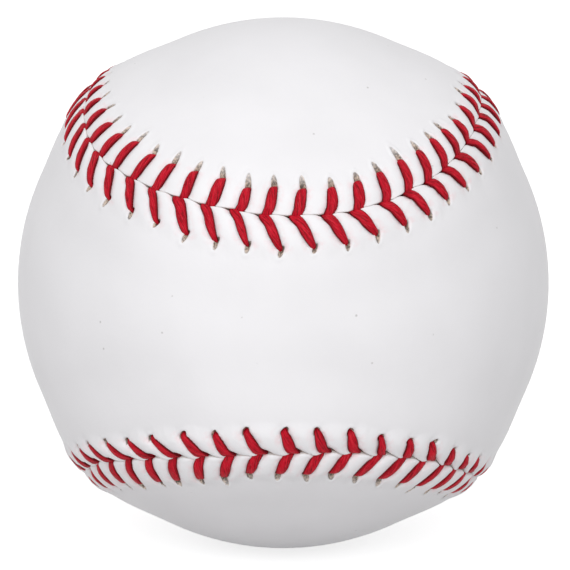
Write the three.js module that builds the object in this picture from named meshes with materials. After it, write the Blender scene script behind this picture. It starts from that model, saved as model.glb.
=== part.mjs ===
// A hand-sewn ball. A cork and rubber centre is wound with four layers of yarn, and two
// leather panels of one shape are laced over it with two runs of red thread.
//
// Millimetres, +Z up, origin at the centre of the ball. The front panel's waist faces -Y
// and its round lobes reach back past -X and +X. The back panel's waist faces +Y and its
// lobes reach forward over +Z and -Z, so the planes x = 0 and z = 0 halve the seam.

import * as THREE from "three";
import { mergeVertices } from "three/addons/utils/BufferGeometryUtils.js";

// Room left between a piece and its neighbour
const clearance = 0.3;

// Cover panels
const ballDiameter = 73.8; // over the plain leather
const coverThickness = 1.2;
const waistWidth = 32.4; // across a panel at its narrowest, along the surface
const straightLength = 28.2; // of the seam between two lobes, along the surface
const edgeRounding = 0.4; // how far the leather turns down at its sewn edge
const crestDistance = 1.9; // from the seam to the crest of the raised edge
const footDistance = 9; // from the seam to where the raised edge has died away

// Lacing
const stitchCount = 100; // holes along the edge of one panel
const holeDistance = 4; // from the seam to the middle of a hole
const threadWidth = 1.3; // of the flat thread where it lies open
const threadThickness = 0.5;
const threadWidthInHole = 0.65; // where the thread is gathered
const tailStart = 0.7; // share of the last hidden run that is left before a thread starts
const tailEnd = 0.3; // share of it that is covered when the thread has gone round

// Centre
const corkDiameter = 20.6;
const blackRubberThickness = 3.5;
const redRubberThickness = 3.1;
const washerThickness = 1.2;

// Wound layers, from the inside out, where the first fills what the others leave
const secondWindingThickness = 1.5;
const thirdWindingThickness = 1.7;
const finishingWindingThickness = 0.5;
const yarnEyeRadius = 1.2; // of the small eye where the yarn's inner end goes in

// Facets
const roundSegments = 18; // round a ball
const roundRows = 10; // from pole to pole, an even number
const panelRingCount = 72; // points round a ring inside a panel
const panelRingShares = [1 / 3, 2 / 3]; // of the way from the raised edge's foot to the middle
const sameCornerDistance = 1e-4; // corners closer than this are one corner

// Radii that follow from the sizes above
const ballRadius = ballDiameter / 2;
const windingRadius = ballRadius - coverThickness - clearance;
const hiddenThreadRadius = windingRadius + clearance + threadThickness / 2;
const raisedInnerRadius = hiddenThreadRadius + threadThickness / 2 + clearance;
const raisedOuterRadius = raisedInnerRadius + coverThickness;
const openThreadRadius = raisedOuterRadius + clearance + threadThickness / 2;
const slotHalfWidth = threadThickness / 2 + clearance;
const holeHalfWidth = Math.hypot(threadWidthInHole, threadThickness) / 2 + clearance;

// Materials
function material(color, roughness) {
  return new THREE.MeshStandardMaterial({ color, roughness, metalness: 0 });
}
const leather = material(0xeeedf0, 0.5);
const redThread = material(0xa42a33, 0.65);
const greyYarn = material(0x8b8a88, 0.95);
const whiteYarn = material(0xdedad0, 0.95);
const finishingYarn = material(0xe6e3da, 0.9);
const redRubber = material(0x9c2f27, 0.7);
const blackRubber = material(0x1d1d1f, 0.7);
const cork = material(0xa9794d, 0.9);

const group = new THREE.Group();

function addPiece(name, geometry, pieceMaterial) {
  const mesh = new THREE.Mesh(geometry, pieceMaterial);
  mesh.name = name;
  group.add(mesh);
  return mesh;
}

// Seam
//
// One eighth of the seam runs from the middle of the front panel's upper edge to a
// crossing point between +Z and -X. It is an arc round the centre of the back panel's
// upper lobe, then a straight stretch. A half turn about the crossing point gives the
// next eighth, and a quarter turn with a flip gives each next quarter.

const waistAngle = waistWidth / 2 / ballRadius;
const straightAngle = straightLength / 2 / ballRadius;
const lobeTangent =
  (Math.SQRT2 * Math.cos(straightAngle) - Math.sin(waistAngle)) / Math.cos(waistAngle);
const lobeAngle = Math.atan(lobeTangent);
const lobeCentre = new THREE.Vector3(
  0,
  -Math.cos(waistAngle + lobeAngle),
  Math.sin(waistAngle + lobeAngle)
);
const crossing = new THREE.Vector3(-1, 0, 1).normalize();

function tangentTowards(from, to) {
  return to.clone().addScaledVector(from, -to.dot(from)).normalize();
}

const waistEdge = new THREE.Vector3(0, -Math.cos(waistAngle), Math.sin(waistAngle));
const towardsWaistEdge = tangentTowards(lobeCentre, waistEdge);
const towardsLeft = new THREE.Vector3(-1, 0, 0);
const towardsCrossing = tangentTowards(lobeCentre, crossing);
const crossingAngle = lobeCentre.angleTo(crossing);
const arcAngle =
  towardsWaistEdge.angleTo(towardsCrossing) -
  Math.acos(Math.tan(lobeAngle) / Math.tan(crossingAngle));
const arcLength = arcAngle * Math.sin(lobeAngle) * ballRadius;
const eighthLength = arcLength + straightLength / 2;
const quarterLength = 2 * eighthLength;
const seamLength = 4 * quarterLength;

// A point of the first eighth and the direction of travel there, on a ball of radius 1
function eighthPoint(distance) {
  const angle = Math.min(distance, arcLength) / (Math.sin(lobeAngle) * ballRadius);
  const outward = towardsWaistEdge
    .clone()
    .multiplyScalar(Math.cos(angle))
    .addScaledVector(towardsLeft, Math.sin(angle));
  const travel = towardsLeft
    .clone()
    .multiplyScalar(Math.cos(angle))
    .addScaledVector(towardsWaistEdge, -Math.sin(angle));
  const point = lobeCentre
    .clone()
    .multiplyScalar(Math.cos(lobeAngle))
    .addScaledVector(outward, Math.sin(lobeAngle));
  if (distance <= arcLength) {
    return { point, travel };
  }
  const turn = (distance - arcLength) / ballRadius;
  return {
    point: point.clone().multiplyScalar(Math.cos(turn)).addScaledVector(travel, Math.sin(turn)),
    travel: travel.clone().multiplyScalar(Math.cos(turn)).addScaledVector(point, -Math.sin(turn)),
  };
}

function halfTurnAboutCrossing(vector) {
  return crossing.clone().multiplyScalar(2 * vector.dot(crossing)).sub(vector);
}

function quarterTurnAndFlip(vector) {
  return new THREE.Vector3(-vector.z, -vector.y, vector.x);
}

// The seam at a distance along it: its point, the direction of travel, and the direction
// square to it into the front panel
function seamAt(distance) {
  const wrapped = THREE.MathUtils.euclideanModulo(distance, seamLength);
  const quarter = Math.floor(wrapped / quarterLength);
  const along = wrapped - quarter * quarterLength;
  let { point, travel } = eighthPoint(Math.min(along, quarterLength - along));
  if (along > eighthLength) {
    point = halfTurnAboutCrossing(point);
    travel = halfTurnAboutCrossing(travel).negate();
  }
  for (let turn = 0; turn < quarter; turn += 1) {
    point = quarterTurnAndFlip(point);
    travel = quarterTurnAndFlip(travel);
  }
  return { point, travel, intoFront: point.clone().cross(travel) };
}

// A point at a distance along the seam, a distance from it into the front panel, and a
// radius from the ball's centre
function placeOnBall(distance, offset, radius) {
  const { point, intoFront } = seamAt(distance);
  const angle = offset / ballRadius;
  return point
    .multiplyScalar(Math.cos(angle))
    .addScaledVector(intoFront, Math.sin(angle))
    .multiplyScalar(radius);
}

// How far the front panel reaches from its edge to its middle line, in the plane z = 0,
// or to the centre of its lobe
function distanceToMiddle(distance) {
  const wrapped = THREE.MathUtils.euclideanModulo(distance, 2 * quarterLength);
  if (Math.abs(wrapped - quarterLength) <= arcLength) {
    return lobeAngle * ballRadius;
  }
  const { point, intoFront } = seamAt(distance);
  return Math.atan(-point.z / intoFront.z) * ballRadius;
}

// Mesh helpers

function geometryFromTriangles(triangles) {
  const positions = triangles.flatMap((triangle) =>
    triangle.flatMap((corner) => corner.toArray())
  );
  const loose = new THREE.BufferGeometry();
  loose.setAttribute("position", new THREE.Float32BufferAttribute(positions, 3));
  const merged = mergeVertices(loose, sameCornerDistance);
  const index = merged.getIndex();
  const kept = [];
  for (let start = 0; start < index.count; start += 3) {
    const [a, b, c] = [index.getX(start), index.getX(start + 1), index.getX(start + 2)];
    if (a !== b && b !== c && c !== a) {
      kept.push(a, b, c);
    }
  }
  merged.setIndex(kept);
  merged.computeVertexNormals();
  return merged;
}

function quad(triangles, a, b, c, d) {
  triangles.push([a, b, c], [a, c, d]);
}

// A band of triangles between two rings that run beside the seam. It faces out of the ball
// where the second ring lies further into the front panel than the first. A ring is a list
// of { distance, corner } in order, and the two may differ in count.
function joinRings(triangles, first, second) {
  let i = 0;
  let j = 0;
  const at = (ring, index) => ({
    distance: ring[index % ring.length].distance + Math.floor(index / ring.length) * seamLength,
    corner: ring[index % ring.length].corner,
  });
  while (i < first.length || j < second.length) {
    const nextFirst = at(first, i + 1).distance;
    const nextSecond = at(second, j + 1).distance;
    if (j === second.length || (i < first.length && nextFirst <= nextSecond)) {
      triangles.push([at(first, i).corner, at(first, i + 1).corner, at(second, j).corner]);
      i += 1;
    } else {
      triangles.push([at(first, i).corner, at(second, j + 1).corner, at(second, j).corner]);
      j += 1;
    }
  }
}

// Cover panel
//
// Rings run round the panel beside its edge. The leather is lifted there by the thread
// that runs under it, and swells between one stitch and the next. Each stitch has a hole.

const pitch = seamLength / stitchCount;

function ringAt(distances, offsetAt, radius) {
  return distances.map((distance) => ({
    distance,
    corner: placeOnBall(distance, offsetAt(distance), radius),
  }));
}

function evenDistances(count, start) {
  return Array.from({ length: count }, (_, k) => start + (k * seamLength) / count);
}

function holeDistances() {
  return evenDistances(stitchCount, 0).flatMap((middle) => [
    middle - holeHalfWidth,
    middle + holeHalfWidth,
  ]);
}

function panelRings(edgeRadius, raisedRadius, plainRadius) {
  const betweenStitches = evenDistances(stitchCount, pitch / 2);
  const beside = holeDistances();
  const inner = evenDistances(panelRingCount, 0);
  const fixed = (offset) => () => offset;
  const shared = (share) => (distance) =>
    footDistance + share * (distanceToMiddle(distance) - footDistance);
  return {
    edge: ringAt(betweenStitches, fixed(slotHalfWidth), edgeRadius),
    crest: ringAt(betweenStitches, fixed(crestDistance), raisedRadius),
    holeNear: ringAt(beside, fixed(holeDistance - holeHalfWidth), raisedRadius),
    holeFar: ringAt(beside, fixed(holeDistance + holeHalfWidth), raisedRadius),
    foot: ringAt(betweenStitches, fixed(footDistance), plainRadius),
    plain: panelRingShares.map((share) => ringAt(inner, shared(share), plainRadius)),
    middle: ringAt(inner, shared(1), plainRadius),
  };
}

function addHoleBand(triangles, outside, inside) {
  for (let hole = 0; hole < stitchCount; hole += 1) {
    const left = 2 * hole;
    const right = left + 1;
    const next = (left + 2) % (2 * stitchCount);
    const near = (rings, index) => rings.holeNear[index].corner;
    const far = (rings, index) => rings.holeFar[index].corner;
    // The leather between this hole and the next, outside and inside
    quad(triangles, near(outside, right), near(outside, next), far(outside, next), far(outside, right));
    quad(triangles, far(inside, right), far(inside, next), near(inside, next), near(inside, right));
    // The four walls of the hole
    quad(triangles, near(outside, left), near(outside, right), near(inside, right), near(inside, left));
    quad(triangles, far(inside, left), far(inside, right), far(outside, right), far(outside, left));
    quad(triangles, near(inside, left), far(inside, left), far(outside, left), near(outside, left));
    quad(triangles, near(outside, right), far(outside, right), far(inside, right), near(inside, right));
  }
}

function coverPanelGeometry() {
  const triangles = [];
  const outside = panelRings(raisedOuterRadius - edgeRounding, raisedOuterRadius, ballRadius);
  const inside = panelRings(raisedInnerRadius, raisedInnerRadius, ballRadius - coverThickness);
  joinRings(triangles, inside.edge, outside.edge);
  joinRings(triangles, outside.edge, outside.crest);
  joinRings(triangles, outside.crest, outside.holeNear);
  joinRings(triangles, inside.holeNear, inside.edge);
  addHoleBand(triangles, outside, inside);
  const outsideRings = [outside.holeFar, outside.foot, ...outside.plain, outside.middle];
  const insideRings = [inside.holeFar, inside.foot, ...inside.plain, inside.middle];
  for (let ring = 1; ring < outsideRings.length; ring += 1) {
    joinRings(triangles, outsideRings[ring - 1], outsideRings[ring]);
    joinRings(triangles, insideRings[ring], insideRings[ring - 1]);
  }
  return geometryFromTriangles(triangles);
}

// Lacing
//
// Each thread comes up through a hole, lies over the leather to the slot between the
// panels, dives, and runs under the other panel to its next hole. At each stitch one
// thread rises through the front panel and the other through the back panel.

const backLegLean = threadWidth / 2;
const frontLegLean = backLegLean + threadWidth + 2 * clearance;

// Four corners of the flat thread, in the same order about the direction it runs in
function threadRing(centre, widthAxis, thicknessAxis, direction) {
  const across = widthAxis.clone();
  if (across.clone().cross(thicknessAxis).dot(direction) < 0) {
    across.negate();
  }
  return {
    centre,
    corners: [
      centre.clone().add(across).add(thicknessAxis),
      centre.clone().add(across).sub(thicknessAxis),
      centre.clone().sub(across).sub(thicknessAxis),
      centre.clone().sub(across).add(thicknessAxis),
    ],
  };
}

// The ring with its corners renumbered, so that each lies nearest to its fellow on the
// ring before, seen along the run between the two
function alignRing(ring, before) {
  const run = ring.centre.clone().sub(before.centre).normalize();
  const flatten = (corner, centre) => {
    const offset = corner.clone().sub(centre);
    return offset.addScaledVector(run, -offset.dot(run));
  };
  const misfit = (shift) =>
    before.corners.reduce((sum, corner, k) => {
      const fellow = ring.corners[(k + shift) % 4];
      return sum + flatten(corner, before.centre).distanceToSquared(flatten(fellow, ring.centre));
    }, 0);
  const shifts = [0, 1, 2, 3].sort((a, b) => misfit(a) - misfit(b));
  const corners = ring.corners.map((_, k) => ring.corners[(k + shifts[0]) % 4]);
  return { centre: ring.centre, corners };
}

function levelDirection(from, to) {
  const up = from.clone().normalize();
  const direction = to.clone().sub(from);
  return direction.addScaledVector(up, -direction.dot(up)).normalize();
}

// Where a leg lies. Side is 1 on the front panel and -1 on the back panel.
function legPlaces(stitch, side) {
  const hole = stitch * pitch;
  const dive = hole + (side > 0 ? frontLegLean : backLegLean);
  return {
    holeBottom: placeOnBall(hole, side * holeDistance, hiddenThreadRadius),
    holeTop: placeOnBall(hole, side * holeDistance, openThreadRadius),
    slotTop: placeOnBall(dive, 0, openThreadRadius),
    slotBottom: placeOnBall(dive, 0, hiddenThreadRadius),
    slot: seamAt(dive),
  };
}

function sideOf(stitch, strand) {
  return (stitch + strand) % 2 === 0 ? 1 : -1;
}

// Rings of one leg, from the hidden run that brings the thread to the foot of its hole
function legRings(stitch, strand) {
  const side = sideOf(stitch, strand);
  const leg = legPlaces(stitch, side);
  const before = legPlaces(stitch - 1, -side);
  const halfThickness = threadThickness / 2;
  const gathered = threadWidthInHole / 2;
  const up = leg.holeTop.clone().normalize();
  const down = up.clone().negate();
  const arrive = levelDirection(leg.holeBottom, before.slotBottom).negate();
  const leave = levelDirection(leg.holeTop, leg.slotTop);
  const slotUp = leg.slotTop.clone().normalize();
  const flatAcross = leg.slot.travel.clone().multiplyScalar(threadWidth / 2);
  const slotCorner = slotUp
    .clone()
    .addScaledVector(leg.slot.intoFront, -side)
    .multiplyScalar(halfThickness);
  return [
    threadRing(
      leg.holeBottom,
      up.clone().cross(arrive).multiplyScalar(gathered),
      up.clone().sub(arrive).multiplyScalar(halfThickness),
      up.clone().add(arrive)
    ),
    threadRing(
      leg.holeTop,
      up.clone().cross(leave).multiplyScalar(gathered),
      up.clone().sub(leave).multiplyScalar(halfThickness),
      up.clone().add(leave)
    ),
    threadRing(leg.slotTop, flatAcross, slotCorner, leave.clone().add(down)),
    threadRing(leg.slotBottom, flatAcross, slotCorner, leave.clone().add(down)),
  ];
}

// A square cut end in the hidden run from the last stitch back to the first
function tailRing(share, strand) {
  const side = sideOf(0, strand);
  const from = legPlaces(-1, -side).slotBottom;
  const to = legPlaces(0, side).holeBottom;
  const centre = from.clone().lerp(to, share).setLength(hiddenThreadRadius);
  const up = centre.clone().normalize();
  const direction = levelDirection(centre, to);
  const halfWidth = THREE.MathUtils.lerp(threadWidth, threadWidthInHole, share) / 2;
  return threadRing(
    centre,
    up.clone().cross(direction).multiplyScalar(halfWidth),
    up.multiplyScalar(threadThickness / 2),
    direction
  );
}

function threadGeometry(strand) {
  const rings = [tailRing(tailStart, strand)];
  for (let stitch = 0; stitch < stitchCount; stitch += 1) {
    rings.push(...legRings(stitch, strand));
  }
  rings.push(tailRing(tailEnd, strand));
  const triangles = [];
  let ring = rings[0];
  quad(triangles, ...ring.corners);
  for (const nextRing of rings.slice(1)) {
    const next = alignRing(nextRing, ring);
    for (let k = 0; k < 4; k += 1) {
      const m = (k + 1) % 4;
      quad(triangles, ring.corners[k], next.corners[k], next.corners[m], ring.corners[m]);
    }
    ring = next;
  }
  quad(triangles, ...ring.corners.slice().reverse());
  return geometryFromTriangles(triangles);
}

// Round pieces
//
// All round pieces share their facet lines, so that the room between them stays even.

function roundProfile(radius) {
  return Array.from({ length: roundRows + 1 }, (_, row) => {
    const angle = -Math.PI / 2 + (row * Math.PI) / roundRows;
    const onAxis = row === 0 || row === roundRows;
    return new THREE.Vector2(onAxis ? 0 : radius * Math.cos(angle), radius * Math.sin(angle));
  });
}

function latheAboutZ(profile) {
  const lathe = new THREE.LatheGeometry(profile, roundSegments).rotateX(Math.PI / 2);
  const loose = lathe.toNonIndexed().getAttribute("position");
  const triangles = [];
  for (let start = 0; start < loose.count; start += 3) {
    const corners = [0, 1, 2].map((k) => new THREE.Vector3().fromBufferAttribute(loose, start + k));
    triangles.push(corners);
  }
  return geometryFromTriangles(triangles);
}

// The profile above a level, cut where it crosses that level
function profileAbove(profile, level) {
  const firstKept = profile.findIndex((point) => point.y > level);
  const below = profile[firstKept - 1];
  const above = profile[firstKept];
  const share = (level - below.y) / (above.y - below.y);
  return [below.clone().lerp(above, share), ...profile.slice(firstKept)];
}

// The profile outside the yarn's eye, cut where it crosses the eye's wall near the top
function profileBelowEye(profile) {
  const last = profile[profile.length - 2];
  const top = profile[profile.length - 1];
  const share = (last.x - yarnEyeRadius) / last.x;
  return [...profile.slice(0, -1), last.clone().lerp(top, share)];
}

function windingGeometry(innerRadius, outerRadius) {
  const innerWall = profileBelowEye(roundProfile(innerRadius));
  const outerWall = profileBelowEye(roundProfile(outerRadius));
  return latheAboutZ([...outerWall, ...innerWall.reverse()]);
}

function halfShellGeometry(innerRadius, outerRadius, rimLevel) {
  const innerWall = profileAbove(roundProfile(innerRadius), rimLevel);
  const outerWall = profileAbove(roundProfile(outerRadius), rimLevel);
  return latheAboutZ([...innerWall.reverse(), ...outerWall]);
}

// A ring that closes on itself between two levels, with facets in line with the shells
function washerGeometry(innerRadius, outerRadius) {
  const half = washerThickness / 2;
  const corner = (radius, level) => {
    const [rim] = profileAbove(roundProfile(radius), half);
    return new THREE.Vector2(rim.x, level);
  };
  return latheAboutZ([
    corner(innerRadius, -half),
    corner(outerRadius, -half),
    corner(outerRadius, half),
    corner(innerRadius, half),
    corner(innerRadius, -half),
  ]);
}

function addHalves(name, innerRadius, outerRadius, rimLevel, pieceMaterial) {
  const geometry = halfShellGeometry(innerRadius, outerRadius, rimLevel);
  addPiece(`${name}_upper`, geometry, pieceMaterial);
  addPiece(`${name}_lower`, geometry, pieceMaterial).rotation.x = Math.PI;
}

// Centre
const corkRadius = corkDiameter / 2;
addPiece("cork_core", latheAboutZ(roundProfile(corkRadius)), cork);

const blackInnerRadius = corkRadius + clearance;
const blackOuterRadius = blackInnerRadius + blackRubberThickness;
const blackRimLevel = washerThickness / 2 + clearance;
addHalves("black_rubber_half", blackInnerRadius, blackOuterRadius, blackRimLevel, blackRubber);
addPiece("red_rubber_washer", washerGeometry(blackInnerRadius, blackOuterRadius), redRubber);

const redInnerRadius = blackOuterRadius + clearance;
const redOuterRadius = redInnerRadius + redRubberThickness;
addHalves("red_rubber_half", redInnerRadius, redOuterRadius, clearance / 2, redRubber);

// Wound layers, each inside the next
const finishingInnerRadius = windingRadius - finishingWindingThickness;
const thirdOuterRadius = finishingInnerRadius - clearance;
const thirdInnerRadius = thirdOuterRadius - thirdWindingThickness;
const secondOuterRadius = thirdInnerRadius - clearance;
const secondInnerRadius = secondOuterRadius - secondWindingThickness;
const firstOuterRadius = secondInnerRadius - clearance;
const firstInnerRadius = redOuterRadius + clearance;
addPiece("first_winding", windingGeometry(firstInnerRadius, firstOuterRadius), greyYarn);
addPiece("second_winding", windingGeometry(secondInnerRadius, secondOuterRadius), whiteYarn);
addPiece("third_winding", windingGeometry(thirdInnerRadius, thirdOuterRadius), greyYarn);
addPiece(
  "finishing_winding",
  windingGeometry(finishingInnerRadius, windingRadius),
  finishingYarn
);

// Cover, with the back panel a half turn of the front panel about a crossing point
const panelGeometry = coverPanelGeometry();
addPiece("cover_panel_front", panelGeometry, leather);
addPiece("cover_panel_back", panelGeometry, leather).quaternion.setFromAxisAngle(crossing, Math.PI);

addPiece("stitch_thread_first", threadGeometry(0), redThread);
addPiece("stitch_thread_second", threadGeometry(1), redThread);

export default group;
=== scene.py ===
"""A hand-sewn leather ball, laced in red thread over wound yarn and a cushioned cork.

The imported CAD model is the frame. Lengths are in metres, +Z is up, and the ball's centre
is the origin. The front panel's waist faces -Y, towards the camera.
"""

import math
from typing import NamedTuple

import bmesh
import bpy
import numpy as np
from bpy.props import FloatProperty
from bpy.props import FloatVectorProperty
from bpy.props import IntProperty
from bpy.props import PointerProperty
from mathutils import Matrix
from mathutils import Vector


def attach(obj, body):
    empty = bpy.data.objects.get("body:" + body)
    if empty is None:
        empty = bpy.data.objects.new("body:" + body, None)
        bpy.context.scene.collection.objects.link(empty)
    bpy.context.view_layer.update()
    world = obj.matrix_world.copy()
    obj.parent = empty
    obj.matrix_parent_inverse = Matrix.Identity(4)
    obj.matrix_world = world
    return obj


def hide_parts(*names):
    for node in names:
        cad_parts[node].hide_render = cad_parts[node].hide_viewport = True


bl_info = {
    "name": "Hand-sewn ball",
    "version": (1, 0, 0),
    "blender": (4, 5, 0),
    "location": "3D View > Sidebar > Ball",
    "description": "Leather cover, lacing, yarn and centre of a hand-sewn ball",
    "category": "Object",
}

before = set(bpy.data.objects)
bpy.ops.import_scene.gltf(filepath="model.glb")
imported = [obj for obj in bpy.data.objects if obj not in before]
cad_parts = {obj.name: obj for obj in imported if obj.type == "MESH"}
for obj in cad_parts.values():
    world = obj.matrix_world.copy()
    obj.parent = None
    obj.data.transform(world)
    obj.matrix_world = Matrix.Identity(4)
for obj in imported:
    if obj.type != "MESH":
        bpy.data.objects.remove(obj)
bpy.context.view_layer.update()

MM = 0.001
DEGREE = math.pi / 180
FULL_TURN = 2 * math.pi
FAR = 100 * MM  # stands for a distance on the leather away from the stitches


def length(name, description, default):
    """A length a user may change."""
    return FloatProperty(
        name=name,
        description=description,
        default=default,
        min=0,
        precision=5,
        subtype="DISTANCE",
        unit="LENGTH",
    )


def angle(name, description, default):
    """A setting that is an angle."""
    return FloatProperty(name=name, description=description, default=default, subtype="ANGLE")


def amount(name, description, default):
    """A setting that is a plain number, never below 0."""
    return FloatProperty(name=name, description=description, default=default, min=0)


def colour(name, description, default):
    """A colour a user may change, in linear light."""
    return FloatVectorProperty(
        name=name,
        description=description,
        default=default,
        size=3,
        min=0,
        max=1,
        subtype="COLOR",
    )


# Settings


class CoverSettings(bpy.types.PropertyGroup):
    """Sizes and colours of the two leather panels."""

    ball_diameter: length("Ball diameter", "Over the plain leather", 73.8 * MM)
    thickness: length("Leather thickness", "Of both panels", 1.2 * MM)
    waist_width: length("Waist width", "Across a panel at its narrowest", 32.4 * MM)
    straight_length: length("Straight length", "Of the seam between two lobes", 28.2 * MM)
    ridge_height: length("Ridge height", "How far the sewn edge stands up", 1.15 * MM)
    crest_distance: length("Crest distance", "From the seam to the ridge's crest", 1.6 * MM)
    foot_distance: length("Foot distance", "From the seam to the ridge's foot", 13.2 * MM)
    edge_rounding: length("Edge rounding", "Radius of the leather's sewn edge", 0.15 * MM)
    pillow_height: length("Pillow height", "Swelling between two stitches", 0.34 * MM)
    press_depth: length("Press depth", "How far a stitch presses the leather", 0.23 * MM)
    leather: colour("Leather", "Finished face of the leather", (0.84, 0.83, 0.85))
    bare_leather: colour("Bare leather", "Raw leather inside a hole", (0.33, 0.27, 0.22))
    flesh_side: colour("Flesh side", "Unfinished inner face", (0.55, 0.5, 0.44))
    dye: colour("Dye", "Where the thread's dye has rubbed off on the leather", (0.84, 0.55, 0.57))


class LacingSettings(bpy.types.PropertyGroup):
    """Sizes and colours of the stitching thread and its holes."""

    stitch_count: IntProperty(
        name="Stitch count",
        description="Holes along the edge of one panel",
        default=100,
        min=20,
    )
    back_distance: length("Back hole distance", "From the seam into the back panel", 3.5 * MM)
    front_distance: length("Front hole distance", "From the seam into the front panel", 3.75 * MM)
    distance_wave: length("Hole distance wave", "How far the hole rows wander", 0.35 * MM)
    distance_spread: length("Hole distance spread", "From one hole to the next", 0.16 * MM)
    foot_lead: length("Foot lead", "How far a stitch leans ahead of its holes", 1.1 * MM)
    thread_width: length("Thread width", "Of the flat thread lying open", 1.36 * MM)
    thread_thickness: length("Thread thickness", "Of the flat thread", 0.72 * MM)
    back_pit_width: length("Back pit width", "Of the holes in the back panel", 0.98 * MM)
    front_pit_width: length("Front pit width", "Of the holes in the front panel", 0.66 * MM)
    back_pit_length: length("Back pit length", "Of the holes in the back panel", 2.4 * MM)
    front_pit_length: length("Front pit length", "Of the holes in the front panel", 1.5 * MM)
    thread: colour("Thread", "Waxed red thread", (0.53, 0.004, 0.019))
    # Painted glints where loose fibres catch the light
    thread_fibre_glint: colour("Thread fleck", "Loose fibres that catch the light", (0.72, 0.13, 0.15))
    thread_shade: colour("Thread shade", "Between the fibres of the thread", (0.16, 0.001, 0.004))


class CentreSettings(bpy.types.PropertyGroup):
    """Sizes and colours of the yarn, rubber and cork."""

    clearance: length("Clearance", "Between neighbouring pieces", 0.3 * MM)
    cork_diameter: length("Cork diameter", "Of the ground cork ball", 20.6 * MM)
    black_thickness: length("Black rubber", "Thickness of the inner shell", 3.5 * MM)
    red_thickness: length("Red rubber", "Thickness of the outer shell", 3.1 * MM)
    washer_thickness: length("Washer", "Thickness of the ring in the black shell", 1.2 * MM)
    second_thickness: length("Second winding", "Thickness of the white yarn", 1.5 * MM)
    third_thickness: length("Third winding", "Thickness of the outer grey yarn", 1.7 * MM)
    finishing_thickness: length("Finishing winding", "Thickness of the fine yarn", 0.5 * MM)
    eye_radius: length("Eye radius", "Where the yarn's inner end goes in", 1.2 * MM)
    cork: colour("Cork", "Ground cork bound with rubber", (0.4, 0.19, 0.075))
    black_rubber: colour("Black rubber colour", "Inner shell", (0.012, 0.012, 0.013))
    red_rubber: colour("Red rubber colour", "Outer shell and washer", (0.33, 0.028, 0.02))
    grey_yarn: colour("Grey yarn", "First and third winding", (0.26, 0.25, 0.245))
    white_yarn: colour("White yarn", "Second winding", (0.72, 0.69, 0.62))
    finishing_yarn: colour("Finishing yarn", "Outermost winding", (0.78, 0.76, 0.7))


class StageSettings(bpy.types.PropertyGroup):
    """The floor, the light and the camera."""

    camera_distance: length("Camera distance", "From the ball's centre", 590 * MM)
    camera_azimuth: angle("Camera azimuth", "Round the ball from its front", 1.13 * DEGREE)
    camera_elevation: angle("Camera elevation", "Above the horizon", 11.82 * DEGREE)
    camera_roll: angle("Camera roll", "About the line of sight", 0.1 * DEGREE)
    camera_lens: amount("Camera lens", "Focal length in millimetres on a 36 mm sensor", 267.6)
    camera_shift: FloatVectorProperty(
        name="Camera shift",
        description="Of the picture sideways and up, as a share of its width",
        default=(0.003, -0.0042),
        size=2,
    )
    floor: colour("Floor", "Plain pale floor", (0.62, 0.62, 0.62))
    floor_glow: amount("Floor glow", "Light that only the camera sees on the floor", 0.74)
    sky_strength: amount("Sky strength", "Even light from all round", 0.55)
    lamp_distance: length("Lamp distance", "From the ball's centre", 1100 * MM)
    front_azimuth: angle("Front lamp azimuth", "Round the ball from its front", -2 * DEGREE)
    front_elevation: angle("Front lamp elevation", "Above the horizon", 26 * DEGREE)
    front_size: length("Front lamp size", "Diameter", 1300 * MM)
    front_power: amount("Front lamp power", "Wide soft lamp by the camera, in watts", 7.7)
    top_azimuth: angle("Top lamp azimuth", "Round the ball from its front", -20 * DEGREE)
    top_elevation: angle("Top lamp elevation", "Above the horizon", 70 * DEGREE)
    top_size: length("Top lamp size", "Diameter", 1000 * MM)
    top_power: amount("Top lamp power", "Wide soft lamp over the ball, in watts", 1.6)


# Seam


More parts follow.
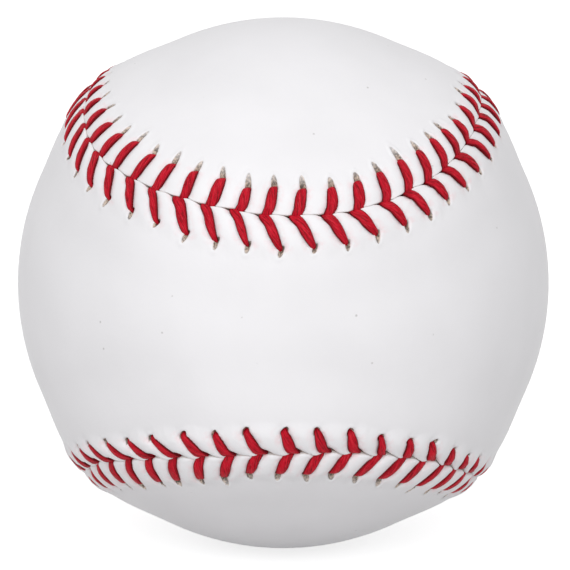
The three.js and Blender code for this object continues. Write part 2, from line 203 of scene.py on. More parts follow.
class Seam:
    """The line between the panels, as distances along it and directions beside it.

    One eighth runs from the middle of the front panel's upper edge to a crossing point
    between +Z and -X: an arc round a lobe's centre, then a straight stretch. A half turn
    about the crossing gives the next eighth, and a quarter turn with a flip each quarter.
    """

    def __init__(self, cover):
        self.radius = cover.ball_diameter / 2
        waist = cover.waist_width / 2 / self.radius
        straight = cover.straight_length / 2 / self.radius
        root_two = math.sqrt(2)
        self.lobe = math.atan((root_two * math.cos(straight) - math.sin(waist)) / math.cos(waist))
        reach = waist + self.lobe
        self.lobe_centre = np.array([0, -math.cos(reach), math.sin(reach)])
        self.crossing = np.array([-1, 0, 1]) / root_two
        self.left = np.array([-1.0, 0, 0])
        waist_edge = np.array([0, -math.cos(waist), math.sin(waist)])
        self.to_waist = self._tangent(self.lobe_centre, waist_edge)
        to_crossing = self._tangent(self.lobe_centre, self.crossing)
        crossing_angle = math.acos(self.lobe_centre @ self.crossing)
        arc_angle = math.acos(self.to_waist @ to_crossing)
        arc_angle -= math.acos(math.tan(self.lobe) / math.tan(crossing_angle))
        self.arc = arc_angle * math.sin(self.lobe) * self.radius
        self.eighth = self.arc + cover.straight_length / 2
        self.quarter = 2 * self.eighth
        self.length = 4 * self.quarter

    @staticmethod
    def _tangent(start, end):
        direction = end - start * (end @ start)
        return direction / np.linalg.norm(direction)

    def _eighth_frames(self, distance):
        """Points and directions of travel in the first eighth, on a ball of radius 1."""
        angle = np.minimum(distance, self.arc) / (math.sin(self.lobe) * self.radius)
        turn = np.maximum(distance - self.arc, 0) / self.radius
        cos_angle, sin_angle = np.cos(angle)[..., None], np.sin(angle)[..., None]
        cos_turn, sin_turn = np.cos(turn)[..., None], np.sin(turn)[..., None]
        outward = cos_angle * self.to_waist + sin_angle * self.left
        start = math.cos(self.lobe) * self.lobe_centre + math.sin(self.lobe) * outward
        along = cos_angle * self.left - sin_angle * self.to_waist
        return start * cos_turn + along * sin_turn, along * cos_turn - start * sin_turn

    def frames(self, distance):
        """Point, direction of travel and direction into the front panel at distances."""
        wrapped = np.mod(np.asarray(distance, float), self.length)
        quarter = np.minimum(np.floor(wrapped / self.quarter), 3)
        along = wrapped - quarter * self.quarter
        second = (along > self.eighth)[..., None]
        point, travel = self._eighth_frames(np.minimum(along, self.quarter - along))
        half_turn = 2 * np.outer(self.crossing, self.crossing) - np.eye(3)
        point = np.where(second, point @ half_turn, point)
        travel = np.where(second, -travel @ half_turn, travel)
        for turn in (1, 2, 3):
            turned = (quarter >= turn)[..., None]
            flip = np.array([[0, 0, 1], [0, -1, 0], [-1, 0, 0]])
            point = np.where(turned, point @ flip, point)
            travel = np.where(turned, travel @ flip, travel)
        return point, travel, np.cross(point, travel)

    def reach(self, distance, side):
        """How far a panel reaches from its edge to its middle line or its lobe's centre."""
        shifted = distance if side > 0 else distance + self.quarter
        wrapped = np.mod(shifted, 2 * self.quarter)
        point, _, into_front = self.frames(wrapped)
        straight = np.arctan(-point[..., 2] / into_front[..., 2]) * self.radius
        in_lobe = np.abs(wrapped - self.quarter) <= self.arc
        return np.where(in_lobe, self.lobe * self.radius, straight)


def lowness(turn):
    """0 where the seam starts, high on the ball's front, and 1 half way round, low on it."""
    return (1 - np.cos(turn)) / 2


def smooth(value):
    """0 below 0, 1 above 1, and an even S between."""
    share = np.clip(value, 0, 1)
    return share * share * (3 - 2 * share)


def bell(value):
    """1 at 0, falling away on both sides."""
    return np.exp(-np.square(value))


def wander(turn, waves, seed):
    """A smooth value within about 1 either way that closes on itself after a full turn."""
    phases = np.random.default_rng(seed).uniform(0, FULL_TURN, len(waves))
    total = sum(np.cos(wave * turn + phase) for wave, phase in zip(waves, phases))
    return total / math.sqrt(len(waves))


class Lacing:
    """Where each stitch's holes and feet lie, with the unevenness of sewing by hand.

    Side 1 is the front panel and -1 the back panel. A leg runs from its hole to its foot
    in the slot between the panels. Top and low are the middles of the front panel's upper
    and lower edges. Left and right are the places half way between them.
    """

    seed = 11

    # Course of the slot
    seam_sway = 0.38 * MM
    sway_waves = 9
    sway_phase = 1.28
    small_sway = 0.07 * MM
    small_sway_waves = (31, 47, 64, 83)
    small_sway_seed = 5
    low_sway = 0.44 * MM
    sway_back = 0.18 * MM
    sway_fade = 13 * MM

    # How the feet drag the slot aside
    slot_pull = 0.23 * MM
    pull_middle = 0.6
    pull_swing = 0.5
    pull_uneven = 0.35
    pull_waves = (23, 37, 50)
    pull_seed = 8
    pull_reach = 1.3 * MM
    front_pull_lead = 0.4 * MM
    pull_fade = 4.5 * MM

    # Stitches sewn ahead of their even places: how far, at what turn, over what reach
    shifts = ((1.6 * MM, -0.68, 0.32), (-0.4 * MM, 0.14, 0.12))

    # How far holes and feet are ahead along the seam, and how the legs run between them
    hole_lead = 0.3 * MM
    hole_offset = 0.15 * MM
    hole_offset_top = 0.65 * MM
    hole_offset_left = 2.2 * MM
    foot_gap = 0.57 * MM
    foot_gap_low = 0.1 * MM
    front_lead_left = 0.9 * MM
    front_lag_top_left = 0.5 * MM
    back_lag_sides = 0.5 * MM
    foot_tail = {1: 0.65 * MM, -1: 0.36 * MM}
    tail_share = 0.4
    leg_end_share = 1.1
    leg_lean = 1.4 * MM
    leg_reach = 4 * MM

    # How much closer to the slot the holes lie in places, and the waves of their rows
    front_closer_low = 0.9 * MM
    back_closer_sides = 0.35 * MM
    distance_waves = 8
    sides_start = 0.3
    sides_reach = 0.4

    # Widths of the thread
    narrow_share = 0.14
    narrow_turn = 0.17
    narrow_reach = 0.2

    # Holes, as hollows past the ends of the legs
    front_pit_shorter_low = 0.2
    front_pit_wider_low = 0.4
    front_pit_lag = 0.2 * MM
    front_pit_lag_loss_low = 0.8
    back_pit_lag = 0.12 * MM
    pit_shorter_low = 0.25
    pit_shorter_sides = 0.4
    pit_middle = 0.2 * MM
    pit_start = 0.05 * MM
    pit_before = 0.35 * MM
    pit_bluntness = 3
    pit_taper = 0.6

    # Unevenness from one stitch to the next
    hole_jitter = 0.12 * MM
    hole_jitter_low = 0.08 * MM
    foot_jitter = 0.1 * MM
    foot_jitter_low = 0.07 * MM
    width_spread = 0.07
    bow = 0.05 * MM
    bow_spread = 0.08 * MM
    pit_length_range = (0.65, 1.15)
    pit_lean = 0.12
    pit_lean_spread = 0.14

    def __init__(self, seam, lacing):
        self.seam = seam
        self.count = lacing.stitch_count
        self.pitch = seam.length / self.count
        self.leg_width = lacing.thread_width
        random = np.random.default_rng(self.seed)
        middle = np.arange(self.count) * self.pitch
        turn = middle / seam.length * FULL_TURN
        around = np.mod(turn + math.pi, FULL_TURN) - math.pi
        for ahead, place, reach in self.shifts:
            middle = middle + ahead * bell((around - place) / reach)
        top, left, low = np.cos(turn), np.sin(turn), lowness(turn)
        offset = self.hole_offset + self.hole_offset_top * top + self.hole_offset_left * left
        foot_gap = self.foot_gap - self.foot_gap_low * top
        sides = smooth((np.abs(left) - self.sides_start) / self.sides_reach)
        narrower = self.narrow_share * bell((around - self.narrow_turn) / self.narrow_reach)
        self.holes, self.feet, self.distances, self.widths = {}, {}, {}, {}
        self.pit_widths, self.pit_lags = {}, {}
        self.pit_lengths, self.pit_leans, self.bows = {}, {}, {}
        for side in (1, -1):
            jitter = random.normal(0, self.hole_jitter + self.hole_jitter_low * low)
            self.holes[side] = middle + self.hole_lead - side * offset / 2 + jitter
            jitter = random.normal(0, self.foot_jitter + self.foot_jitter_low * low)
            lead = self.hole_lead + lacing.foot_lead
            if side > 0:
                lead = lead + self.front_lead_left * left
                lead = lead - self.front_lag_top_left * (1 - low) * np.maximum(left, 0)
                distance = lacing.front_distance - self.front_closer_low * (1 - left) * low
                pit = lacing.front_pit_length * (1 - self.front_pit_shorter_low * low)
                pit_width = lacing.front_pit_width * (1 + self.front_pit_wider_low * low)
                pit_lag = self.front_pit_lag * (1 - self.front_pit_lag_loss_low * low)
            else:
                lead = lead - self.back_lag_sides * np.square(left)
                distance = lacing.back_distance - self.back_closer_sides * sides
                pit = lacing.back_pit_length
                pit_width = np.full(self.count, lacing.back_pit_width)
                pit_lag = np.full(self.count, self.back_pit_lag)
            self.feet[side] = middle + lead + side * foot_gap / 2 + jitter
            wave = side * lacing.distance_wave * np.cos(self.distance_waves * turn)
            spread = random.normal(0, lacing.distance_spread, self.count)
            self.distances[side] = distance + wave + spread
            width = lacing.thread_width * (1 - narrower * (side > 0))
            self.widths[side] = width * random.normal(1, self.width_spread, self.count)
            self.bows[side] = random.normal(self.bow, self.bow_spread, self.count)
            pit = pit * (1 - self.pit_shorter_low * low) * (1 - self.pit_shorter_sides * sides)
            self.pit_lengths[side] = pit * random.uniform(*self.pit_length_range, self.count)
            self.pit_leans[side] = random.normal(self.pit_lean, self.pit_lean_spread, self.count)
            self.pit_widths[side] = pit_width
            self.pit_lags[side] = pit_lag

    def sway(self, distance):
        """How far the slot strays from its drawn line, towards the front panel."""
        turn = np.asarray(distance) / self.seam.length * FULL_TURN
        wave = self.seam_sway * np.cos(self.sway_waves * turn + self.sway_phase)
        small = self.small_sway * wander(turn, self.small_sway_waves, self.small_sway_seed)
        return wave + small + self.low_sway * lowness(turn) - self.sway_back

    def from_foot(self, side, distance):
        """How far ahead of the nearest foot of one side's legs a place is."""
        return self.nearest_leg(side, distance, np.zeros(np.shape(distance)))[1]

    def pull(self, distance):
        """How far the feet drag the slot aside, towards the front panel."""
        turn = np.asarray(distance) / self.seam.length * FULL_TURN
        strength = self.pull_middle - self.pull_swing * np.cos(turn)
        strength += self.pull_uneven * wander(turn, self.pull_waves, self.pull_seed)
        front = bell((self.from_foot(1, distance) - self.front_pull_lead) / self.pull_reach)
        back = bell(self.from_foot(-1, distance) / self.pull_reach)
        return self.slot_pull * strength * (front - back)

    def place(self, distance, offset, radius):
        """A point at a distance along the seam and an offset from the slot."""
        point, _, into_front = self.seam.frames(distance)
        aside = self.sway(distance) * (1 - smooth(np.abs(offset) / self.sway_fade))
        aside += self.pull(distance) * (1 - smooth(np.abs(offset) / self.pull_fade))
        angle = (offset + aside) / self.seam.radius
        direction = point * np.cos(angle)[..., None] + into_front * np.sin(angle)[..., None]
        return direction * np.asarray(radius)[..., None]

    def leg_line(self, side, stitch, offset):
        """Distance along the seam of a leg's middle line, at an offset from the slot."""
        number = np.mod(stitch, self.count)
        lap = np.floor_divide(stitch, self.count) * self.seam.length
        share = offset / self.distances[side][number]
        inner = np.clip(share, 0, self.leg_end_share)
        foot, hole = self.feet[side][number], self.holes[side][number]
        bow = self.bows[side][number] * np.sin(np.pi * np.clip(share, 0, 1))
        tail = self.foot_tail[side] * np.square(np.clip(1 - share / self.tail_share, 0, 1))
        return lap + foot + (hole - foot) * inner + bow + tail

    def nearest_leg(self, side, distance, offset):
        """Number of the nearest leg and how far along the seam its middle line is."""
        lean = self.leg_lean * (1 - np.clip(offset / self.leg_reach, 0, 1))
        guess = np.round((distance - self.hole_lead - lean) / self.pitch).astype(int)
        best, gap = guess, distance - self.leg_line(side, guess, offset)
        for step in (-1, 1):
            other = guess + step
            other_gap = distance - self.leg_line(side, other, offset)
            nearer = np.abs(other_gap) < np.abs(gap)
            best, gap = np.where(nearer, other, best), np.where(nearer, other_gap, gap)
        return np.mod(best, self.count), gap

    def beside_leg(self, side, distance, offset):
        """Distance to the edge of the nearest leg, 0 under it."""
        stitch, gap = self.nearest_leg(side, distance, offset)
        aside = np.maximum(np.abs(gap) - self.widths[side][stitch] / 2, 0)
        past_end = np.maximum(offset - self.distances[side][stitch], 0)
        return np.hypot(aside, past_end)

    def hole_edge(self, side, distance, offset):
        """Distance to the nearest hole's outline, negative inside it, and past its leg."""
        stitch, _ = self.nearest_leg(side, distance, offset)
        leg_end = self.distances[side][stitch]
        middle = self.leg_line(side, stitch, leg_end + self.pit_middle)
        middle = middle - self.pit_lags[side][stitch]
        lap = np.round((distance - middle) / self.seam.length)
        across = distance - middle - lap * self.seam.length
        beyond = offset - leg_end - self.pit_start
        across = across - self.pit_leans[side][stitch] * np.maximum(beyond, 0)
        pit = self.pit_lengths[side][stitch]
        share = np.clip(beyond / pit, 0, 1)
        taper = np.power(1 - np.power(share, self.pit_bluntness), self.pit_taper)
        half_width = self.pit_widths[side][stitch] / 2 * taper
        past = np.hypot(np.abs(across), np.maximum(beyond - pit, 0))
        before = -beyond - self.pit_before
        inside = np.where(beyond > pit, past, np.abs(across) - half_width)
        return np.maximum(inside, before), beyond


# Leather panels


class Leather:
    """The outer face of the leather beside the slot."""

    # Gap between a panel's edge and the slot's middle
    closed_slot = 0.004 * MM
    low_slot = 0.035 * MM
    dive_opening = 0.3 * MM
    dive_reach = 0.6 * MM
    front_dive_ahead = 0.85 * MM
    other_leg_opening = 0.1 * MM
    deep_opening = 0.24 * MM
    deep_reach = 0.55 * MM
    opening_fade = 1.6 * MM

    # Share of the ridge's height at the very edge
    edge_share = 0.86

    # Pillows between the legs and beds under them, where low is at the lower edge
    bed_share = 0.4
    fade_start = 0.6 * MM
    fade_reach = 2.6 * MM
    press_share = 0.65
    press_share_low = 0.35
    pillow_share = 0.8
    pillow_share_low = 0.6
    rounding_gain_low = 1.4

    # Hollows at the legs' ends, and their lips
    pit_depth = 0.75 * MM
    pit_rise = 0.4 * MM
    pit_rise_length = 1.4 * MM
    pit_wall = 0.3 * MM
    lip_height = 0.13 * MM
    lip_distance = 0.16 * MM
    lip_width = 0.24 * MM
    lip_start = 0.1 * MM
    lip_reach = 0.5 * MM

    def __init__(self, cover, lacing_settings, lacing):
        self.cover = cover
        self.settings = lacing_settings
        self.lacing = lacing
        self.radius = cover.ball_diameter / 2

    def slot_opening(self, side, distance, deep=False):
        """How far a panel's edge stands back from the slot's middle, where legs dive."""
        gap = self.lacing.from_foot(side, distance)
        if deep:
            return self.closed_slot + self.deep_opening * bell(gap / self.deep_reach)
        ahead = self.front_dive_ahead if side > 0 else self.dive_reach
        reach = np.where(gap > 0, ahead, self.dive_reach)
        low = lowness(distance / self.lacing.seam.length * FULL_TURN)
        opening = self.closed_slot + self.low_slot * low + self.dive_opening * bell(gap / reach)
        if side > 0:
            other_gap = self.lacing.from_foot(-1, distance)
            opening += self.other_leg_opening * bell(other_gap / self.deep_reach)
        return opening

    def height(self, side, distance, offset):
        """Height over the plain ball, and the distance to the nearest hole's outline."""
        cover = self.cover
        lacing = self.lacing
        low = lowness(distance / lacing.seam.length * FULL_TURN)
        rise = self.edge_share + (1 - self.edge_share) * smooth(offset / cover.crest_distance)
        fall_share = (offset - cover.crest_distance) / (cover.foot_distance - cover.crest_distance)
        fall = np.square(np.cos(np.clip(fall_share, 0, 1) * np.pi / 2))
        height = cover.ridge_height * rise * fall
        # Round pillows between the legs, and a pressed bed under each leg
        stitch, gap = lacing.nearest_leg(side, distance, offset)
        leg_end = lacing.distances[side][stitch]
        along_leg = 1 - smooth((offset - leg_end + self.fade_start) / self.fade_reach)
        bed = self.bed_share * lacing.leg_width
        share = np.clip((np.abs(gap) - bed) / (lacing.pitch / 2 - bed), 0, 1)
        pillow = np.sqrt(1 - np.square(1 - share))
        press = cover.press_depth * (self.press_share + self.press_share_low * low)
        full = cover.pillow_height * (self.pillow_share + self.pillow_share_low * low) + press
        height += (full * pillow - press) * along_leg
        # The hollow at the leg's end, with a lip
        edge, beyond = lacing.hole_edge(side, distance, offset)
        deep = self.pit_depth - self.pit_rise * smooth(beyond / self.pit_rise_length)
        height -= deep * smooth(-edge / self.pit_wall)
        lip = bell((edge - self.lip_distance) / self.lip_width)
        height += self.lip_height * lip * smooth((beyond + self.lip_start) / self.lip_reach)
        # The edge turned down into the slot
        rounding = cover.edge_rounding * (1 + self.rounding_gain_low * low)
        corner = np.clip(1 - offset / rounding, 0, 1)
        height -= rounding * (1 - np.sqrt(1 - np.square(corner)))
        return height, edge


class MeshParts:
    """Corners and faces gathered for one mesh."""

    def __init__(self):
        self.corners = []
        self.faces = []
        self.count = 0

    def add_corners(self, corners):
        """Adds corners and returns their numbers in the same rows."""
        shape = corners.shape[:-1]
        self.corners.append(corners.reshape(-1, 3))
        numbers = np.arange(self.count, self.count + int(np.prod(shape))).reshape(shape)
        self.count += numbers.size
        return numbers

    def add_grid(self, numbers, flip):
        """Quads between rows of numbers that close on themselves."""
        here, there = numbers[:-1], numbers[1:]
        next_here, next_there = np.roll(here, -1, 1), np.roll(there, -1, 1)
        quads = np.stack([here, next_here, next_there, there], -1).reshape(-1, 4)
        self.faces.extend((quads[:, ::-1] if flip else quads).tolist())

    def add_step(self, fine, coarse, flip):
        """Triangles and quads from a closed fine row to a closed coarse one."""
        share = len(fine) // len(coarse)
        for number, corner in enumerate(coarse):
            next_corner = coarse[(number + 1) % len(coarse)]
            run = [fine[(number * share + step) % len(fine)] for step in range(share + 1)]
            half = share // 2
            faces = [[corner, *pair] for pair in zip(run[:half], run[1 : half + 1])]
            faces.append([corner, run[half], next_corner])
            faces.extend([next_corner, *pair] for pair in zip(run[half:-1], run[half + 1 :]))
            if flip:
                faces = [face[::-1] for face in faces]
            self.faces.extend([int(corner) for corner in face] for face in faces)

    def make(self, name):
        """A mesh object with these corners and faces, at the origin."""
        mesh = bpy.data.meshes.new(name)
        mesh.from_pydata(np.concatenate(self.corners).tolist(), [], self.faces)
        mesh.update()
        piece = bpy.data.objects.new(name, mesh)
        bpy.context.scene.collection.objects.link(piece)
        return piece


def band_offsets(cover, lacing_settings):
    """Offsets of the rows of corners beside the slot, closest where the holes are."""
    edge_rows, outer_rows = 6, 9
    lace_start = 2.2 * cover.edge_rounding
    lace_end = lacing_settings.front_distance + 2.6 * MM
    lace_step = 0.22 * MM
    outer_end = cover.foot_distance + 0.6 * MM
    first_share, growth = 0.1, 1.5
    edge = cover.edge_rounding * (1 - np.cos(np.linspace(0, np.pi / 2, edge_rows)))
    lace = np.arange(lace_start, lace_end, lace_step)
    shares = np.linspace(first_share, 1, outer_rows) ** growth
    return np.concatenate([edge, lace, lace_end + shares * (outer_end - lace_end)])


def merge_corners(piece, distance):
    """Joins corners that lie in one place."""
    pick_only(piece)
    bpy.ops.object.mode_set(mode="EDIT")
    bpy.ops.mesh.select_all(action="SELECT")
    bpy.ops.mesh.remove_doubles(threshold=distance)
    bpy.ops.object.mode_set(mode="OBJECT")


def panel_piece(name, side, leather):
    """One leather panel: a fine band beside its edge, and coarser rows to its middle."""
    columns_in_stitch, coarse_share, middle_rows, ridge_rows = 16, 4, 11, 10
    merge_distance = 0.001 * MM
    cover, lacing = leather.cover, leather.lacing
    seam = lacing.seam
    columns = lacing.count * columns_in_stitch
    flip = side < 0
    parts = MeshParts()

    # The outer face, first the band and then the middle
    distance = np.arange(columns) * seam.length / columns
    rows = band_offsets(cover, leather.settings)
    distances, offsets = np.meshgrid(distance, rows)
    height, edge = leather.height(side, distances, offsets)
    opening = leather.slot_opening(side, distances)
    opening = opening * (1 - smooth(offsets / leather.opening_fade))
    band = lacing.place(distances, side * (offsets + opening), leather.radius + height)
    band_numbers = parts.add_corners(band)
    parts.add_grid(band_numbers, flip)
    coarse = distance[::coarse_share]
    reach = seam.reach(coarse, side)
    shares = np.linspace(0, 1, middle_rows + 1)[1:]
    coarse_distances, coarse_shares = np.meshgrid(coarse, shares)
    coarse_offsets = rows[-1] + coarse_shares * (reach - rows[-1])
    plain = np.full(coarse_offsets.shape, leather.radius)
    middle = lacing.place(coarse_distances, side * coarse_offsets, plain)
    middle_numbers = parts.add_corners(middle)
    parts.add_step(band_numbers[-1], middle_numbers[0], flip)
    parts.add_grid(middle_numbers, flip)

    # The wall in the slot, and the inner face
    under_rows = np.linspace(0, rows[-1], ridge_rows)
    under_distances, under_offsets = np.meshgrid(coarse, under_rows)
    under_height, _ = leather.height(side, under_distances, under_offsets + cover.crest_distance)
    opening = leather.slot_opening(side, under_distances, deep=True)
    opening = opening * (1 - smooth(under_offsets / leather.opening_fade))
    under_radius = leather.radius - cover.thickness + np.clip(under_height, 0, cover.ridge_height)
    under = lacing.place(under_distances, side * (under_offsets + opening), under_radius)
    wall_offset = side * leather.slot_opening(side, distance, deep=True)
    wall_radius = leather.radius + height[0] - cover.edge_rounding * 2
    wall_numbers = parts.add_corners(lacing.place(distance, wall_offset, wall_radius))
    parts.add_grid(np.stack([band_numbers[0], wall_numbers]), not flip)
    under_numbers = parts.add_corners(under)
    deep = lacing.place(coarse_distances, side * coarse_offsets, plain - cover.thickness)
    deep_numbers = parts.add_corners(deep)
    parts.add_step(wall_numbers, under_numbers[0], not flip)
    parts.add_grid(under_numbers, not flip)
    parts.add_grid(np.stack([under_numbers[-1], deep_numbers[0]]), not flip)
    parts.add_grid(deep_numbers, not flip)

    piece = parts.make(name)
    _, beyond = lacing.hole_edge(side, distances, offsets)
    beside = lacing.beside_leg(side, distances, offsets)
    add_corner_values(piece, "hole_edge", edge, FAR)
    add_corner_values(piece, "past_thread", beyond, FAR)
    add_corner_values(piece, "slot_edge", offsets, FAR)
    add_corner_values(piece, "beside_thread", beside, FAR)
    add_corner_values(piece, "flesh_side", np.zeros(band_numbers.size + middle_numbers.size), 1)
    merge_corners(piece, merge_distance)
    shade_smooth(piece)
    return piece


def add_corner_values(piece, name, values, rest):
    """A value at each corner. The corners that come after the given ones all get the rest."""
    attribute = piece.data.attributes.new(name, "FLOAT", "POINT")
    filled = np.full(len(piece.data.vertices), rest, np.float32)
    filled[: values.size] = values.ravel()
    attribute.data.foreach_set("value", filled)


# Thread


class Station(NamedTuple):
    """A place on a leg, with the thread's width and thickness as shares of its own."""

    offset: float  # from the slot
    lift: float | None  # over the leather, or None where the thread is under it
    width: float
    thickness: float
    along_slot: float  # 0 where the thread lies across its leg, 1 along the slot
    slant: float  # of the thread's end


class Thread:
    """One of the long threads, laid leg by leg over the leather."""

    # By side, 1 for legs over the front panel and -1 for legs over the back panel
    foot_offsets = {1: 0.12 * MM, -1: -0.1 * MM}
    end_widths = {1: 0.6, -1: 0.82}
    end_wider_low = {1: 0.12, -1: 0}
    heel_widths = {1: 1.12, -1: 0.97}
    end_slants = {1: 0.3, -1: 0.55}

    hidden_height = 0.25 * MM  # of the hidden runs over the panel's inner face
    hole_reach = 0.75 * MM  # where the leather begins to dip into a hole
    section_sides = 10
    section_roundness = 0.8  # 1 is an ellipse, and less is squarer
    steps = 2  # rings from one station to the next

    def __init__(self, leather):
        self.leather = leather
        self.lacing = leather.lacing
        self.width = leather.settings.thread_width
        self.thickness = leather.settings.thread_thickness

    def stations(self, side, stitch):
        """Stations of one leg, from under its hole to the bottom of the slot."""
        leg = self.lacing.distances[side][stitch]
        low = lowness(stitch / self.lacing.count * FULL_TURN)
        end = self.end_widths[side] + self.end_wider_low[side] * low
        heel = self.heel_widths[side]
        slant = self.end_slants[side]
        foot = self.foot_offsets[side]
        return [
            Station(leg + 0.2 * MM, None, 0.5, 0.8, 0, slant),
            Station(leg + 0.2 * MM, -0.8 * MM, end * 0.8, 0.8, 0, slant),
            Station(leg + 0.12 * MM, -0.3 * MM, end, 0.8, 0, slant),
            Station(leg - 0.14 * MM, 0.09 * MM, (1 + 3 * end) / 4, 0.85, 0, slant * 0.7),
            Station(leg - 0.65 * MM, 0.24 * MM, (1 + end) / 2 + 0.06, 0.95, 0, slant * 0.3),
            Station(leg * 0.58, 0.33 * MM, 1.07, 1, 0.05, 0),
            Station(leg * 0.32, 0.31 * MM, 1.05, 1, 0.3, 0),
            Station(0.5 * MM, 0.18 * MM, heel, 0.9, 0.8, 0),
            Station(foot + 0.08 * MM, 0, heel - 0.05, 0.8, 1, 0),
            Station(foot, -0.35 * MM, 0.72, 0.75, 1, 0),
            Station(foot * 0.5, -0.8 * MM, 0.55, 0.75, 1, 0),
            Station(0, None, 0.5, 0.8, 1, 0),
        ]

    def leg(self, side, stitch):
        """Each station's place, direction across the thread, and width and thickness."""
        lacing, leather = self.lacing, self.leather
        stations = self.stations(side, stitch)
        offsets = np.array([station.offset for station in stations])
        distances = lacing.leg_line(side, stitch, offsets)
        # The leather's height where it isn't pressed into a hole or rounded at its edge
        length_over = lacing.distances[side][stitch]
        steady = np.clip(offsets, leather.cover.edge_rounding, length_over - self.hole_reach)
        heights, _ = leather.height(side, lacing.leg_line(side, stitch, steady), steady)
        hidden = leather.radius - leather.cover.thickness + self.hidden_height
        radii = [
            hidden if station.lift is None else leather.radius + height + station.lift
            for station, height in zip(stations, heights)
        ]
        places = lacing.place(distances, side * offsets, np.array(radii))
        _, travel, into_front = lacing.seam.frames(distances)
        lean = (lacing.feet[side][stitch] - lacing.holes[side][stitch]) / length_over
        up = places / np.linalg.norm(places, axis=1)[:, None]
        square = np.cross(up, lean * travel - side * into_front)
        square /= np.linalg.norm(square, axis=1)[:, None]
        along_slot = np.array([[station.along_slot] for station in stations])
        across = square * (1 - along_slot) + side * travel * along_slot
        slant = np.array([[station.slant] for station in stations])
        slanted = side * travel - slant * into_front
        across = across * (1 - smooth(slant)) + slanted * smooth(slant)
        own_sizes = np.array([lacing.widths[side][stitch], self.thickness])
        shares = np.array([[station.width, station.thickness] for station in stations])
        return places, across, shares * own_sizes

    def middle_line(self, strand):
        """Places, directions across, and widths and thicknesses all along one thread."""
        legs = []
        for stitch in range(self.lacing.count):
            side = 1 if (stitch + strand) % 2 == 0 else -1
            legs.append(self.leg(side, stitch))
        places, across, sizes = (np.concatenate(values) for values in zip(*legs))
        for number in range(1, len(across)):
            if across[number] @ across[number - 1] < 0:
                across[number] = -across[number]
        return [spline(values, self.steps) for values in (places, across, sizes)]

    def rings(self, places, across, sizes):
        """Corners round the thread at each place."""
        run = np.gradient(places, axis=0)
        run /= np.linalg.norm(run, axis=1)[:, None]
        thick = np.cross(run, across)
        thick /= np.linalg.norm(thick, axis=1)[:, None]
        across = np.cross(thick, run)
        angles = np.arange(self.section_sides) * FULL_TURN / self.section_sides
        wide, deep = (
            (np.sign(share) * np.power(np.abs(share), self.section_roundness))[None, :, None]
            for share in (np.cos(angles), np.sin(angles))
        )
        widths, thicknesses = sizes[:, 0, None, None], sizes[:, 1, None, None]
        aside = across[:, None] * wide * widths / 2
        return places[:, None] + aside + thick[:, None] * deep * thicknesses / 2

    def piece(self, name, strand):
        """One run of thread round the whole ball, as a closed tube with a flat section."""
        places, across, sizes = self.middle_line(strand)
        parts = MeshParts()
        numbers = parts.add_corners(self.rings(places, across, sizes))
        parts.add_grid(numbers, False)
        parts.faces.append(numbers[0][::-1].tolist())
        parts.faces.append(numbers[-1].tolist())
        piece = parts.make(name)
        steps = np.linalg.norm(np.diff(places, axis=0), axis=1)
        along = np.concatenate([[0], np.cumsum(steps)])
        add_thread_map(piece, along, self.section_sides, self.width)
        shade_smooth(piece)
        return piece


def spline(points, steps):
    """Points on a smooth line through the given ones, with steps from each to the next."""
    before = np.concatenate([points[:1], points[:-1]])
    after = np.concatenate([points[1:], points[-1:]])
    later = np.concatenate([points[2:], points[-1:], points[-1:]])
    slope = after - before
    bend = 2 * before - 5 * points + 4 * after - later
    twist = 3 * points - before - 3 * after + later
    shares = [step / steps for step in range(steps)]
    rows = [points + (slope * t + bend * t**2 + twist * t**3) / 2 for t in shares]
    line = np.stack(rows, 1).reshape(-1, points.shape[1])
    return line[: (len(points) - 1) * steps + 1]


def add_thread_map(piece, along, sides, width):
    """A UV map with the way round the thread across and the length along it up."""
    layer = piece.data.uv_layers.new(name="thread_map")
    loops = np.zeros(len(piece.data.loops), np.int32)
    piece.data.loops.foreach_get("vertex_index", loops)
    ring, corner = np.divmod(loops, sides)
    widths_in_map = 3
    round_share = corner / sides
    # The last face of each ring closes on the first corner
    starts = np.zeros(len(piece.data.polygons), np.int32)
    totals = np.zeros(len(piece.data.polygons), np.int32)
    piece.data.polygons.foreach_get("loop_start", starts)
    piece.data.polygons.foreach_get("loop_total", totals)
    face = np.repeat(np.arange(len(starts)), totals)
    has_last = np.zeros(len(starts), bool)
    np.logical_or.at(has_last, face, corner == sides - 1)
    closing = has_last[face] & (corner == 0) & (totals[face] == 4)
    round_share[closing] = 1
    values = np.stack([round_share, along[ring] / (width * widths_in_map)], 1)
    layer.data.foreach_set("uv", values.astype(np.float32).ravel())


# Tools for all pieces


def pick_only(piece):
    """Makes a piece the only one picked, and the active one."""
    bpy.ops.object.select_all(action="DESELECT")
    piece.select_set(True)
    bpy.context.view_layer.objects.active = piece


def shade_smooth(piece):
    """Smooth shading all over."""
    pick_only(piece)
    bpy.ops.object.shade_smooth()


def finish_piece(piece, material, node):
    """Gives a piece its material and puts it in its CAD node's place."""
    piece.data.materials.clear()
    piece.data.materials.append(material)
    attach(piece, "root")
    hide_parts(node)
    return piece


